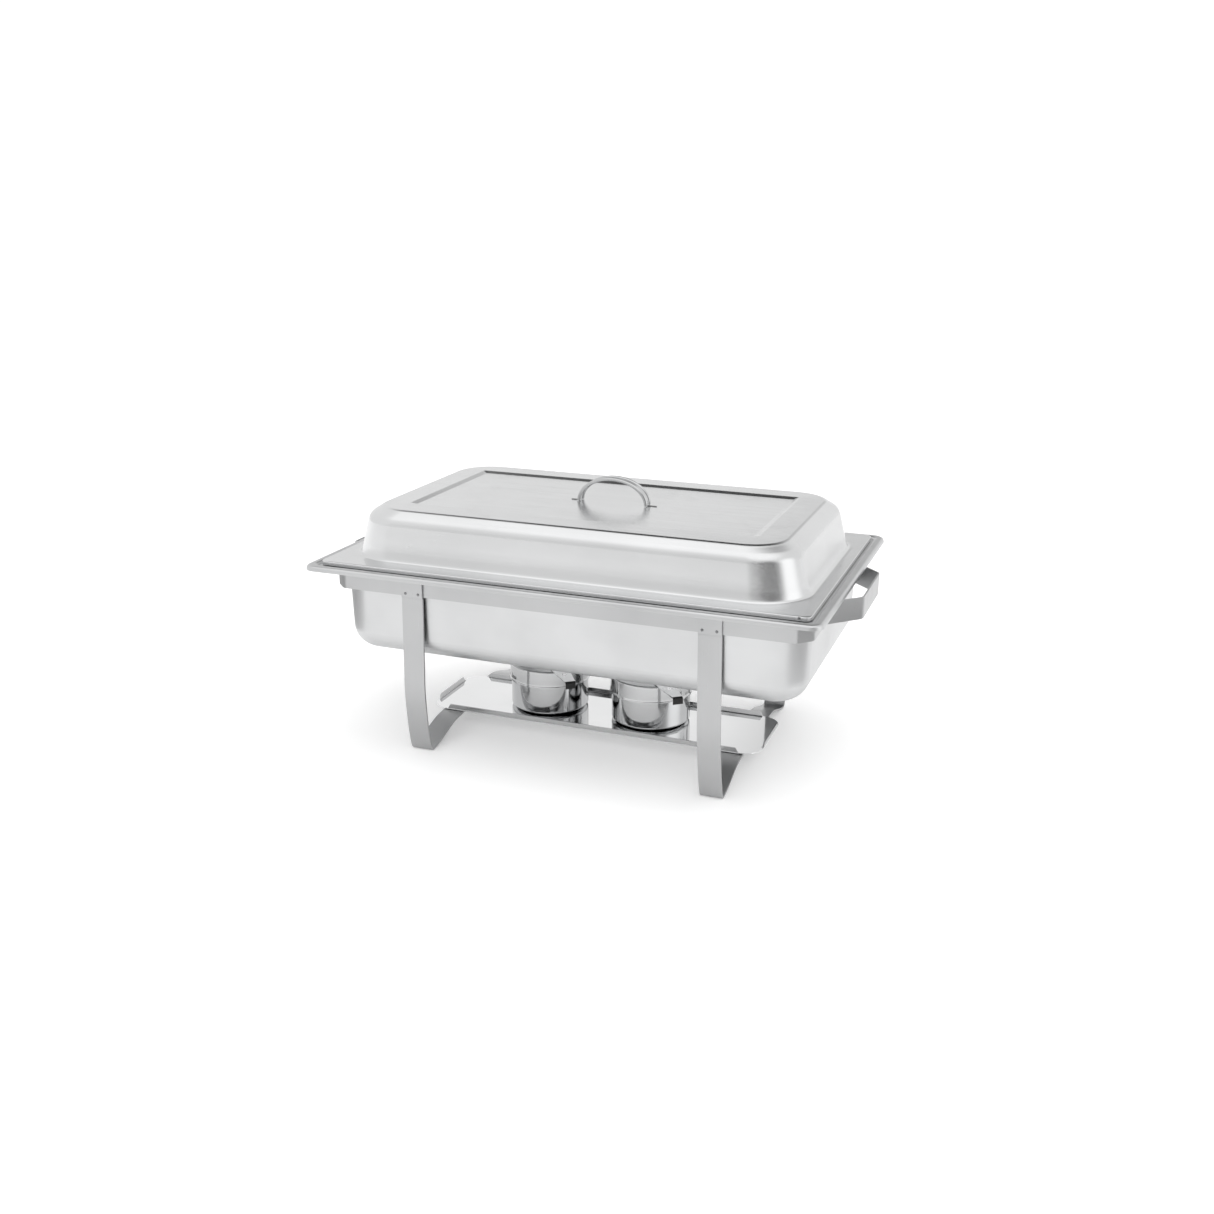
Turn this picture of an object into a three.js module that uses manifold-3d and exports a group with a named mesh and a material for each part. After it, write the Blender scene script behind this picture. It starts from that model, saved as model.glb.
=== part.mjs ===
import * as THREE from 'three';
import { mergeVertices } from 'three/addons/utils/BufferGeometryUtils.js';
import Module from 'manifold-3d';

const wasm = await Module();
wasm.setup();

// All lengths are millimetres. +X is the long side, the front is -Y, +Z is up, the floor is z = 0.

// Sheet thicknesses
const SHEET = 1.2;
const SHELF_SHEET = 1.5;
const STRIP = 2.5;
const BAND_SHEET = 2.0;
const GAP = 0.3;

// Frame band: a bent strip ring whose two ends bulge out into the carrying handles
const BAND_BOTTOM = 184.4;
const BAND_TOP = 208.0;
const BAND_HALF_Y = 150.5;
const BAND_HALF_X = 267.5;
const BAND_CORNER_X = 252.5;
const BAND_CORNER_Y = 135.5;
const HANDLE_HALF_X = 299.3;
const HANDLE_ROOT_Y = 80.0;
const HANDLE_FLAT_Y = 48.0;

// Leg strips: one strip per side makes front leg, foot, cross rail, foot and rear leg
const LEG_X = 166.2;
const LEG_WIDTH = 25.0;
const LEG_SPLAY = 3.2;
const LEG_TOP = 207.5;
const RAIL_TOP = 18.3;
const LEG_RIVET_Z = 188.0;
const LEG_RIVET_DX = 7.6;
const RIVET_SHANK_R = 1.5;
const RIVET_HOLE_R = 1.7;
const RIVET_HEAD_R = 2.4;
const RIVET_HEAD_H = 1.0;

// Burner shelf
const SHELF_BOTTOM = RAIL_TOP + GAP;
const SHELF_TOP = SHELF_BOTTOM + SHELF_SHEET;
const SHELF_HALF_X = 199.5;
const SHELF_FRONT = -61.0;
const SHELF_REAR = 51.0;
const SHELF_CORNER = 22.0;
const SHELF_LIP = 7.0;
const SHELF_RIVET_Y = 30.0;

// Burners
const BURNER_X = { left: -71.0, right: 55.2 };
const CUP_R = 45.4;
const CUP_BOTTOM = SHELF_TOP + GAP;
const CUP_TOP = 73.8;
const CAP_R = 47.6;
const CAP_BOTTOM = 55.3;
const CAP_TOP = 75.3;
const FLAME_HOLE_R = 21.0;
const DAMPER_R = 25.0;
const DAMPER_T = 1.4;
const DAMPER_Z = CAP_TOP + GAP;
const DAMPER_ANGLE = -51.3;
const PIVOT_R = 37.0;
const HANDLE_TIP_R = 85.0;
const TIP_DROP = 6.5;

// Water pan: body, seat ledge, raised bead and turned-down lip
const WATER_BOTTOM = 111.2;
const LEDGE_Z = 208.3;
const RIM_LIP_X = 282.0;
const RIM_XY = 100.1;

// Food pan (530 x 325 gastronorm flange)
const FOOD_HALF_X = 265.0;
const FOOD_HALF_Y = 162.5;
const FOOD_BOTTOM = 150.0;
const FOOD_FLANGE_Z = 215.8;

// Lid
const LID_HALF_X = 268.5;
const LID_HALF_Y = 164.65;
const LID_FLANGE_Z = 218.5;
const LID_SKIRT_Z = 213.8;
const LID_TOP = 272.9;
const PANEL_Z = 270.9;

// Lid handle
const ARCH_X = 8.5;
const ARCH_Y = -2.0;
const ARCH_HALF = 41.5;
const ARCH_RISE = 29.4;
const ARCH_WIDTH = 15.0;
const ARCH_T = 2.6;
const TAB_LENGTH = 7.5;
const TAB_WIDTH = 1.2;
const TAB_HEIGHT = 0.9;

const CORNER_SEG = 6;

const satin = new THREE.MeshStandardMaterial({ color: 0xc9cbcd, roughness: 0.34, metalness: 1.0 });
const polished = new THREE.MeshStandardMaterial({ color: 0xd6d8da, roughness: 0.08, metalness: 1.0 });
const strip = new THREE.MeshStandardMaterial({ color: 0xb4b7ba, roughness: 0.28, metalness: 1.0 });
const rivetSteel = new THREE.MeshStandardMaterial({ color: 0xa4a7aa, roughness: 0.3, metalness: 1.0 });

const root = new THREE.Group();
root.name = 'chafing_dish';

function mesh(name, geometry, material, parent = root) {
  const m = new THREE.Mesh(geometry, material);
  m.name = name;
  parent.add(m);
  return m;
}

// ---- solids ----------------------------------------------------------------

function toSolid(geometry) {
  const g = geometry.clone();
  g.deleteAttribute('normal');
  g.deleteAttribute('uv');
  const merged = mergeVertices(g, 1e-4);
  const index = merged.index.array;
  return new wasm.Manifold(new wasm.Mesh({
    numProp: 3,
    vertProperties: new Float32Array(merged.attributes.position.array),
    triVerts: new Uint32Array(index),
  }));
}

function toGeometry(solid) {
  const m = solid.getMesh();
  const g = new THREE.BufferGeometry();
  g.setAttribute('position', new THREE.BufferAttribute(new Float32Array(m.vertProperties), 3));
  g.setIndex(new THREE.BufferAttribute(new Uint32Array(m.triVerts), 1));
  g.computeVertexNormals();
  return g;
}

// Cylinder along an axis given as 'x', 'y' or 'z', centred on (x, y, z)
function pin(radius, length, axis, x, y, z, sides = 12) {
  const g = new THREE.CylinderGeometry(radius, radius, length, sides);
  if (axis === 'z') g.rotateX(Math.PI / 2);
  if (axis === 'x') g.rotateZ(Math.PI / 2);
  g.translate(x, y, z);
  return g;
}

function drill(geometry, pins) {
  let solid = toSolid(geometry);
  for (const p of pins) {
    solid = solid.subtract(toSolid(p));
  }
  return toGeometry(solid);
}

// ---- pressed sheet: rings of rounded rectangles joined one to the next ------

// Points of a rounded rectangle, counter-clockwise seen from above
function ring([hx, hy, r, z]) {
  const points = [];
  for (let q = 0; q < 4; q += 1) {
    const sx = q === 0 || q === 3 ? 1 : -1;
    const sy = q < 2 ? 1 : -1;
    for (let i = 0; i <= CORNER_SEG; i += 1) {
      const a = (q + i / CORNER_SEG) * Math.PI / 2;
      points.push([sx * (hx - r) + r * Math.cos(a), sy * (hy - r) + r * Math.sin(a), z]);
    }
  }
  return points;
}

function loft(rings) {
  const n = 4 * (CORNER_SEG + 1);
  const positions = [];
  const index = [];
  for (const r of rings) {
    for (const p of ring(r)) positions.push(...p);
  }
  for (let k = 0; k + 1 < rings.length; k += 1) {
    for (let i = 0; i < n; i += 1) {
      const a = k * n + i;
      const b = k * n + (i + 1) % n;
      index.push(a, a + n, b, b, a + n, b + n);
    }
  }
  const first = positions.length / 3;
  positions.push(0, 0, rings[0][3]);
  positions.push(0, 0, rings[rings.length - 1][3]);
  const last = (rings.length - 1) * n;
  for (let i = 0; i < n; i += 1) {
    index.push(first, i, (i + 1) % n);
    index.push(first + 1, last + (i + 1) % n, last + i);
  }
  return outward(positions, index);
}

// Indexed geometry with its faces turned outward
function outward(positions, index) {
  let volume = 0;
  for (let i = 0; i < index.length; i += 3) {
    const [a, b, c] = [0, 1, 2].map((k) => new THREE.Vector3().fromArray(positions, index[i + k] * 3));
    volume += a.dot(b.cross(c));
  }
  if (volume < 0) index.reverse();
  const g = new THREE.BufferGeometry();
  g.setAttribute('position', new THREE.Float32BufferAttribute(positions, 3));
  g.setIndex(index);
  g.computeVertexNormals();
  return g;
}

// Shift distances (outward, up) that keep a sheet's thickness at each profile point
function mitre(profile, i, side) {
  const step = (a, b) => {
    const dx = b[0] - a[0];
    const dz = b[3] - a[3];
    const l = Math.hypot(dx, dz);
    return [side * dz / l, -side * dx / l];
  };
  const before = i > 0 ? step(profile[i - 1], profile[i]) : null;
  const after = i + 1 < profile.length ? step(profile[i], profile[i + 1]) : null;
  const a = before || after;
  const b = after || before;
  const scale = 1 / (1 + a[0] * b[0] + a[1] * b[1]);
  return [(a[0] + b[0]) * scale, (a[1] + b[1]) * scale];
}

// Closed sheet body from one face's profile; side -1 thickens upward and inward, +1 downward
function pressed(profile, thickness, side) {
  const other = profile.map(([hx, hy, r, z], i) => {
    const [dx, dz] = mitre(profile, i, side);
    const t = thickness;
    return [hx + dx * t, hy + dx * t, Math.max(r + dx * t, 0.6), z + dz * t];
  });
  return loft([...profile, ...other.reverse()]);
}

// Rings of a bottom corner of radius b below a wall of half sizes hx, hy
function bottomCorner(hx, hy, r, z, b, steps) {
  const rings = [];
  for (let i = 0; i <= steps; i += 1) {
    const a = (i / steps) * Math.PI / 2;
    const inset = b * (1 - Math.sin(a));
    rings.push([hx - inset, hy - inset, Math.max(r - inset, 8), z + b * (1 - Math.cos(a))]);
  }
  return rings;
}

// ---- bent strip: a centre line given thickness, then extruded ----------------

function thicken(path, thickness) {
  const left = [];
  const right = [];
  for (let i = 0; i < path.length; i += 1) {
    const p = path[i];
    const a = direction(path[Math.max(i - 1, 0)], path[Math.max(i, 1)]);
    const b = direction(path[Math.min(i, path.length - 2)], path[Math.min(i + 1, path.length - 1)]);
    const scale = thickness / 2 / (1 + a[0] * b[0] + a[1] * b[1]);
    const nx = -(a[1] + b[1]) * scale;
    const ny = (a[0] + b[0]) * scale;
    left.push([p[0] + nx, p[1] + ny]);
    right.push([p[0] - nx, p[1] - ny]);
  }
  return [...left, ...right.reverse()];
}

function direction(a, b) {
  const l = Math.hypot(b[0] - a[0], b[1] - a[1]);
  return [(b[0] - a[0]) / l, (b[1] - a[1]) / l];
}

function plate(points, depth, holes = []) {
  const shape = new THREE.Shape(points.map(([x, y]) => new THREE.Vector2(x, y)));
  for (const h of holes) {
    shape.holes.push(new THREE.Path(h.map(([x, y]) => new THREE.Vector2(x, y))));
  }
  return new THREE.ExtrudeGeometry(shape, { depth, bevelEnabled: false });
}

function circle(r, cx, cy, n) {
  const points = [];
  for (let i = 0; i < n; i += 1) {
    const a = (i / n) * Math.PI * 2;
    points.push([cx + r * Math.cos(a), cy + r * Math.sin(a)]);
  }
  return points;
}

// ---- frame ------------------------------------------------------------------

// Corner points of the ring, inset by t from its outer face
function bandPath(t) {
  const k = t * Math.tan(Math.PI / 8);
  const quarter = [
    [BAND_HALF_X - t, HANDLE_ROOT_Y + k],
    [BAND_HALF_X - t, BAND_CORNER_Y - k],
    [BAND_CORNER_X - k, BAND_HALF_Y - t],
  ];
  const half = [
    [HANDLE_HALF_X - t, HANDLE_FLAT_Y - k],
    ...quarter,
    ...quarter.slice().reverse().map(([x, y]) => [-x, y]),
    [-(HANDLE_HALF_X - t), HANDLE_FLAT_Y - k],
  ];
  return [...half, ...half.slice().reverse().map(([x, y]) => [x, -y])];
}

// Every leg rivet: side (-1 left, 1 right), front (-1) or rear (1), column
function legRivets() {
  const list = [];
  for (const [side, sx] of [['left', -1], ['right', 1]]) {
    for (const [end, sy] of [['front', -1], ['rear', 1]]) {
      for (const [col, dx] of [['a', -LEG_RIVET_DX], ['b', LEG_RIVET_DX]]) {
        list.push({ name: `leg_rivet_${side}_${end}_${col}`, x: sx * LEG_X + dx, sy });
      }
    }
  }
  return list;
}

function frameBand() {
  const ringBody = plate(bandPath(0), BAND_TOP - BAND_BOTTOM, [bandPath(BAND_SHEET)]);
  ringBody.translate(0, 0, BAND_BOTTOM);
  const y = BAND_HALF_Y - BAND_SHEET / 2;
  const pins = legRivets().map((r) => pin(RIVET_HOLE_R, 8, 'y', r.x, r.sy * y, LEG_RIVET_Z));
  mesh('frame_band', drill(ringBody, pins), strip);
}

// Centre line (y, z) of the front half of a leg strip, from the band down and under the shelf
function legHalf() {
  const y = BAND_HALF_Y + GAP + STRIP / 2;
  const rail = RAIL_TOP - STRIP / 2;
  return [
    [-y, LEG_TOP], [-y, 95], [-(y - 0.8), 79], [-(y - 2.5), 62], [-(y - 5.0), 44], [-(y - 7.7), 27],
    [-(y - 11.0), 12], [-(y - 13.4), 4.5], [-(y - 15.8), STRIP / 2], [-(y - 20.5), STRIP / 2],
    [-122.5, 3.0], [-111, 5.9], [-98, 10.3], [-85.5, 14.2], [-73, 16.4], [-60, rail],
  ];
}

function legStrip(side, sx) {
  const half = legHalf();
  const path = [...half, ...half.slice().reverse().map(([y, z]) => [-y, z])];
  const g = plate(thicken(path, STRIP), LEG_WIDTH);
  // extrusion axis becomes X, the drawn plane becomes YZ
  g.rotateZ(Math.PI / 2);
  g.rotateY(Math.PI / 2);
  g.translate(sx * LEG_X - LEG_WIDTH / 2, 0, 0);
  const p = g.attributes.position;
  for (let i = 0; i < p.count; i += 1) {
    p.setX(i, p.getX(i) + sx * LEG_SPLAY * (1 - p.getZ(i) / LEG_TOP));
  }
  const y = BAND_HALF_Y + GAP + STRIP / 2;
  const pins = legRivets()
    .filter((r) => Math.sign(r.x) === sx)
    .map((r) => pin(RIVET_HOLE_R, 8, 'y', r.x, r.sy * y, LEG_RIVET_Z));
  for (const dy of [-SHELF_RIVET_Y, SHELF_RIVET_Y]) {
    pins.push(pin(RIVET_HOLE_R, 8, 'z', sx * LEG_X, dy, RAIL_TOP - STRIP / 2));
  }
  mesh(`leg_strip_${side}`, drill(g, pins), strip);
}

// Rivet along Z: shank from z0 to z1 with a low round head outside each end
function rivet(name, z0, z1, parent, headR = RIVET_HEAD_R) {
  const profile = [
    [0, z0 - RIVET_HEAD_H], [headR * 0.7, z0 - RIVET_HEAD_H * 0.8], [headR, z0 - 0.1], [headR, z0],
    [RIVET_SHANK_R, z0], [RIVET_SHANK_R, z1],
    [headR, z1], [headR, z1 + 0.1], [headR * 0.7, z1 + RIVET_HEAD_H * 0.8], [0, z1 + RIVET_HEAD_H],
  ].map(([x, y]) => new THREE.Vector2(x, y));
  const g = new THREE.LatheGeometry(profile, 12);
  g.rotateX(Math.PI / 2);
  return mesh(name, g, rivetSteel, parent);
}

function frameRivets() {
  const inner = BAND_HALF_Y - BAND_SHEET - 0.1;
  const outer = BAND_HALF_Y + GAP + STRIP + 0.1;
  for (const r of legRivets()) {
    const m = rivet(r.name, inner, outer, root);
    m.rotation.x = -r.sy * Math.PI / 2;
    m.position.set(r.x, 0, LEG_RIVET_Z);
  }
  for (const [side, sx] of [['left', -1], ['right', 1]]) {
    for (const [end, sy] of [['front', -1], ['rear', 1]]) {
      const m = rivet(`shelf_rivet_${side}_${end}`, RAIL_TOP - STRIP - 0.1, SHELF_TOP + 0.1, root);
      m.position.set(sx * LEG_X, sy * SHELF_RIVET_Y, 0);
    }
  }
}

// ---- burner shelf -----------------------------------------------------------

// Upstand lip standing on an edge: long side at the base, ends sloping in
function lip(length, slope) {
  const points = [[-length / 2, 0], [length / 2, 0], [length / 2 - slope, SHELF_LIP],
    [-length / 2 + slope, SHELF_LIP]];
  const g = plate(points, SHELF_SHEET);
  g.rotateX(Math.PI / 2);
  return g;
}

function shelf() {
  const depth = SHELF_REAR - SHELF_FRONT;
  const midY = (SHELF_REAR + SHELF_FRONT) / 2;
  const outline = ring([SHELF_HALF_X, depth / 2, SHELF_CORNER, 0]).map(([x, y]) => [x, y]);
  const base = plate(outline, SHELF_SHEET);
  base.translate(0, midY, SHELF_BOTTOM);
  let solid = toSolid(base);
  const longLip = 2 * (SHELF_HALF_X - SHELF_CORNER) - 2;
  const endLip = depth - 2 * SHELF_CORNER - 2;
  const front = lip(longLip, 4);
  front.translate(0, SHELF_FRONT + SHELF_SHEET, SHELF_BOTTOM + 0.5);
  const rear = lip(longLip, 4);
  rear.translate(0, SHELF_REAR, SHELF_BOTTOM + 0.5);
  const right = lip(endLip, 3);
  right.rotateZ(Math.PI / 2);
  right.translate(SHELF_HALF_X - SHELF_SHEET, midY, SHELF_BOTTOM + 0.5);
  const left = lip(endLip, 3);
  left.rotateZ(Math.PI / 2);
  left.translate(-SHELF_HALF_X, midY, SHELF_BOTTOM + 0.5);
  for (const g of [front, rear, right, left]) {
    solid = solid.add(toSolid(g));
  }
  for (const sx of [-1, 1]) {
    for (const sy of [-1, 1]) {
      const hole = pin(RIVET_HOLE_R, 6, 'z', sx * LEG_X, sy * SHELF_RIVET_Y, SHELF_TOP);
      solid = solid.subtract(toSolid(hole));
    }
  }
  mesh('burner_shelf', toGeometry(solid), polished);
}

// ---- burners ----------------------------------------------------------------

function lathe(name, points, parent, material, sides = 40) {
  const g = new THREE.LatheGeometry(points.map(([x, y]) => new THREE.Vector2(x, y)), sides);
  g.rotateX(Math.PI / 2);
  return mesh(name, g, material, parent);
}

function cup(side, group) {
  const r = CUP_R;
  lathe(`burner_cup_${side}`, [
    [0, CUP_BOTTOM], [r - 3, CUP_BOTTOM], [r - 0.9, CUP_BOTTOM + 0.9], [r, CUP_BOTTOM + 3],
    [r, CUP_TOP], [r - SHEET, CUP_TOP], [r - SHEET, CUP_BOTTOM + 3.6],
    [r - 3.6, CUP_BOTTOM + SHEET], [0, CUP_BOTTOM + SHEET],
  ], group, polished);
}

// Cap with a flame hole in the middle and a hole for the damper's pivot rivet
function cap(side, group) {
  const points = [
    [FLAME_HOLE_R, CAP_TOP], [CAP_R - 1.5, CAP_TOP], [CAP_R - 0.4, CAP_TOP - 0.5],
    [CAP_R, CAP_TOP - 1.6], [CAP_R, CAP_BOTTOM], [CAP_R - SHEET, CAP_BOTTOM],
    [CAP_R - SHEET, CAP_TOP - SHEET], [FLAME_HOLE_R, CAP_TOP - SHEET], [FLAME_HOLE_R, CAP_TOP],
  ];
  points.reverse();
  const g = new THREE.LatheGeometry(points.map(([x, y]) => new THREE.Vector2(x, y)), 40);
  g.rotateX(Math.PI / 2);
  const [px, py] = pivot();
  mesh(`burner_cap_${side}`, drill(g, [pin(RIVET_HOLE_R, 8, 'z', px, py, CAP_TOP)]), polished, group);
}

function pivot() {
  const a = THREE.MathUtils.degToRad(DAMPER_ANGLE);
  return [PIVOT_R * Math.cos(a), PIVOT_R * Math.sin(a)];
}

// Damper outline drawn along +X: round cover, neck past the pivot, tapering handle
function damperOutline() {
  const points = [];
  const neck = Math.asin(9.6 / DAMPER_R);
  for (let i = 0; i <= 22; i += 1) {
    const a = neck + (i / 22) * (2 * Math.PI - 2 * neck);
    points.push([DAMPER_R * Math.cos(a), DAMPER_R * Math.sin(a)]);
  }
  points.push([CAP_R, -9.6], [HANDLE_TIP_R, -5.8], [HANDLE_TIP_R, 5.8], [CAP_R, 9.6]);
  return points;
}

function damper(side, group) {
  const holes = [circle(RIVET_HOLE_R, PIVOT_R, 0, 12), circle(2.6, 58, 0, 12)];
  const top = plate(damperOutline(), DAMPER_T, holes);
  top.translate(0, 0, DAMPER_Z);
  const tip = new THREE.BoxGeometry(DAMPER_T, 11.6, TIP_DROP + DAMPER_T);
  tip.translate(HANDLE_TIP_R + DAMPER_T / 2 - 0.4, 0, DAMPER_Z + DAMPER_T - (TIP_DROP + DAMPER_T) / 2);
  const g = toGeometry(toSolid(top).add(toSolid(tip)));
  const m = mesh(`burner_damper_${side}`, g, polished, group);
  m.rotation.z = THREE.MathUtils.degToRad(DAMPER_ANGLE);
}

function burner(side) {
  const group = new THREE.Group();
  group.name = `burner_${side}`;
  group.position.set(BURNER_X[side], 0, 0);
  root.add(group);
  cup(side, group);
  cap(side, group);
  damper(side, group);
  const [px, py] = pivot();
  const m = rivet(`damper_rivet_${side}`, CAP_TOP - SHEET - 0.1, DAMPER_Z + DAMPER_T + 0.1, group, 3.2);
  m.position.set(px, py, 0);
}

// ---- pans -------------------------------------------------------------------

// Profile of the water pan's outer and lower face, from the bottom out to the lip
function waterPan() {
  const lipY = RIM_LIP_X - RIM_XY;
  const rim = (inset, z, r) => [RIM_LIP_X - inset, lipY - inset, r, z];
  const profile = [
    ...bottomCorner(260.0, 145.2, 36, WATER_BOTTOM, 26, 6),
    [261.4, 146.9, 36.5, LEDGE_Z - 2.5], [262.0, 147.5, 37, LEDGE_Z - 0.6], [262.6, 148.1, 37.6, LEDGE_Z],
    rim(7.2, LEDGE_Z, 9), rim(5.9, LEDGE_Z + 4.6, 9.5), rim(4.6, LEDGE_Z + 6.0, 10),
    rim(1.9, LEDGE_Z + 6.0, 11), rim(0.5, LEDGE_Z + 4.6, 12), rim(0, LEDGE_Z + 1.7, 12.5),
  ];
  mesh('water_pan', pressed(profile, SHEET, -1), satin);
}

function foodPan() {
  const x = FOOD_HALF_X - SHEET;
  const y = FOOD_HALF_Y - SHEET;
  const profile = [
    ...bottomCorner(244, 137.0, 36, FOOD_BOTTOM, 16, 4),
    [249.6, 142.6, 38, FOOD_FLANGE_Z - 2.4], [251.6, 144.4, 40, FOOD_FLANGE_Z],
    [x - 1.4, y - 1.4, 9, FOOD_FLANGE_Z], [x, y, 10, FOOD_FLANGE_Z - 1.4],
    [x, y, 10, LEDGE_Z + SHEET + GAP],
  ];
  mesh('food_pan', pressed(profile, SHEET, -1), satin);
}

// ---- lid --------------------------------------------------------------------

// Profile of the lid's upper face, from the sunk panel out to the bottom of the skirt
function lid() {
  const profile = [
    [195.4, 93.0, 2.0, PANEL_Z], [196.6, 94.2, 3.2, LID_TOP],
    [227.5, 126.2, 34, 272.0], [229.3, 128.0, 35.5, 271.5], [230.6, 129.2, 36, 270.2],
    [241.0, 137.8, 38, 263.6], [242.8, 139.0, 39.5, 260.5], [249.5, 142.6, 44, 234.0],
    [251.5, 144.0, 46.5, 224.5], [254.2, 145.2, 49, 220.8], [258.5, 148.2, 52, LID_FLANGE_Z],
    [LID_HALF_X - 1.6, LID_HALF_Y - 1.6, 5, LID_FLANGE_Z],
    [LID_HALF_X - 0.4, LID_HALF_Y - 0.4, 6, LID_FLANGE_Z - 0.5],
    [LID_HALF_X, LID_HALF_Y, 6.5, LID_FLANGE_Z - 1.6],
    [LID_HALF_X, LID_HALF_Y, 6.5, LID_SKIRT_Z],
  ];
  mesh('lid_shell', pressed(profile, SHEET, 1), satin);
}

// Arched strap with a narrow locating tab beyond each end
function lidHandle() {
  const a = ARCH_HALF - ARCH_T / 2;
  const path = [[-a, 0]];
  const steps = 18;
  for (let i = 0; i <= steps; i += 1) {
    const t = Math.PI * (1 - i / steps);
    path.push([a * Math.cos(t), 4.0 + (ARCH_RISE - ARCH_T / 2 - 4.0) * Math.sin(t)]);
  }
  path.push([a, 0]);
  const arch = plate(thicken(path, ARCH_T), ARCH_WIDTH);
  arch.rotateX(Math.PI / 2);
  arch.translate(ARCH_X, ARCH_Y + ARCH_WIDTH / 2, PANEL_Z + GAP);
  let solid = toSolid(arch);
  for (const sx of [-1, 1]) {
    const tab = new THREE.BoxGeometry(TAB_LENGTH, TAB_WIDTH, TAB_HEIGHT);
    const x = ARCH_X + sx * (ARCH_HALF + TAB_LENGTH / 2 - 0.8);
    tab.translate(x, ARCH_Y, PANEL_Z + GAP + TAB_HEIGHT / 2);
    solid = solid.add(toSolid(tab));
  }
  mesh('lid_handle', toGeometry(solid), polished);
}

frameBand();
legStrip('left', -1);
legStrip('right', 1);
frameRivets();
shelf();
burner('left');
burner('right');
waterPan();
foodPan();
lid();
lidHandle();

export default root;
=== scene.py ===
import math

import bmesh
import bpy
from mathutils import Matrix, Vector


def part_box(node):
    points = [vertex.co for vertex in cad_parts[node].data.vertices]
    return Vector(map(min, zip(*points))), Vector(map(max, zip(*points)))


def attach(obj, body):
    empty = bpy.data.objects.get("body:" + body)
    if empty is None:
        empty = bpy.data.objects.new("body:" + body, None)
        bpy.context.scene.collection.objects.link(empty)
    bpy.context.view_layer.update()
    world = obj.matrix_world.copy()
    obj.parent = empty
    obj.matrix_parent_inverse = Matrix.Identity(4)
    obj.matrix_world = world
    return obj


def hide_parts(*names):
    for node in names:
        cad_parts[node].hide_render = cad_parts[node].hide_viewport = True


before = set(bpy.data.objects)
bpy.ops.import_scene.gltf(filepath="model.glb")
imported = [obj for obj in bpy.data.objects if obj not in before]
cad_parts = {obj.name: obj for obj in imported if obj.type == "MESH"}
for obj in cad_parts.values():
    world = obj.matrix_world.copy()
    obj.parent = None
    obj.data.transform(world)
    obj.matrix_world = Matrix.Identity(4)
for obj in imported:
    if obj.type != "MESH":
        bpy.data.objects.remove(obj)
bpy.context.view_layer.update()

# ---- camera -------------------------------------------------------------------
# A tripod camera at table height plus half a metre, a little to the right of the dish,
# looking across its long front with a mild wide lens.
CAMERA_PLACE = Vector((0.5016, -1.3335, 0.6037))
CAMERA_TURN = math.radians(20.6)
CAMERA_DIP = math.radians(17.75)
CAMERA_ROLL = math.radians(0.33)

camera_data = bpy.data.cameras.new("camera")
camera_data.sensor_width = 36.0
camera_data.lens = 38.74
camera = bpy.data.objects.new("camera", camera_data)
bpy.context.scene.collection.objects.link(camera)
camera.matrix_world = (
    Matrix.Translation(CAMERA_PLACE)
    @ Matrix.Rotation(CAMERA_TURN, 4, "Z")
    @ Matrix.Rotation(math.pi / 2 - CAMERA_DIP, 4, "X")
    @ Matrix.Rotation(CAMERA_ROLL, 4, "Z")
)
bpy.context.scene.camera = camera

# ---- studio -------------------------------------------------------------------
# A white cove with a pale floor. Soft boxes overhead and at the right light the dish. Unlit
# stretches of the cove, and grey cards seen only in reflections, shape the steel.
FLOOR_SIZE = 14.0
WALL_LEVEL = 0.93
PAPER_LEVEL = 1.04
# Each soft box and unlit stretch: azimuth, elevation, full inside and gone outside (degrees), level.
SOFT_BOXES = ((-75, 76, 22, 50, 0.36), (2, 10, 8, 30, 0.5))
UNLIT_STRETCHES = (
    (106, 52, 12, 31, 0.95),
    (-80, 4, 3, 24, 0.46),
    (-46, 5, 3, 36, 0.76),
    (95, 22, 2, 10, 0.4),
    (-110, 2, 8, 26, 0.13),
)
TOP_LIGHT_ENERGY = 0.85
TOP_LIGHT_SPREAD = 62
TOP_LIGHT_TILT = (-14, 4, 0)
FLOOR_GLOW_SEEN = 0.25
FLOOR_GLOW_REFLECTED = 0.15
CARD_X = 0.57
CARD_Y = (-0.42, 0.12)
CARD_HEIGHT = 0.14
CARD_GREY = 0.5
GROUND_GREY = 0.86
GROUND_X = (0.5, 4.0)
GROUND_Y = (0.25, 5.0)
GROUND_Z = 0.001

world = bpy.data.worlds.new("studio")
bpy.context.scene.world = world
world.use_nodes = True
studio = world.node_tree
studio.nodes.clear()
direction = studio.nodes.new("ShaderNodeTexCoord")


def studio_patch(azimuth, elevation, inner, outer, level):
    """Round patch of the cove: level towards that direction, nothing past outer degrees."""
    a = math.radians(azimuth)
    e = math.radians(elevation)
    aim = studio.nodes.new("ShaderNodeVectorMath")
    aim.operation = "DOT_PRODUCT"
    aim.inputs[1].default_value = (math.cos(e) * math.cos(a), math.cos(e) * math.sin(a), math.sin(e))
    studio.links.new(direction.outputs["Generated"], aim.inputs[0])
    fade = studio.nodes.new("ShaderNodeMapRange")
    fade.interpolation_type = "SMOOTHSTEP"
    fade.inputs["From Min"].default_value = math.cos(math.radians(outer))
    fade.inputs["From Max"].default_value = math.cos(math.radians(inner))
    fade.inputs["To Min"].default_value = 0.0
    fade.inputs["To Max"].default_value = level
    studio.links.new(aim.outputs["Value"], fade.inputs["Value"])
    return fade.outputs["Result"]


def studio_mix(operation, a, b):
    """One step of arithmetic on the cove's brightness; a and b are numbers or sockets."""
    node = studio.nodes.new("ShaderNodeMath")
    node.operation = operation
    for socket, value in zip(node.inputs, (a, b)):
        if isinstance(value, (int, float)):
            socket.default_value = value
        else:
            studio.links.new(value, socket)
    return node.outputs[0]


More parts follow.
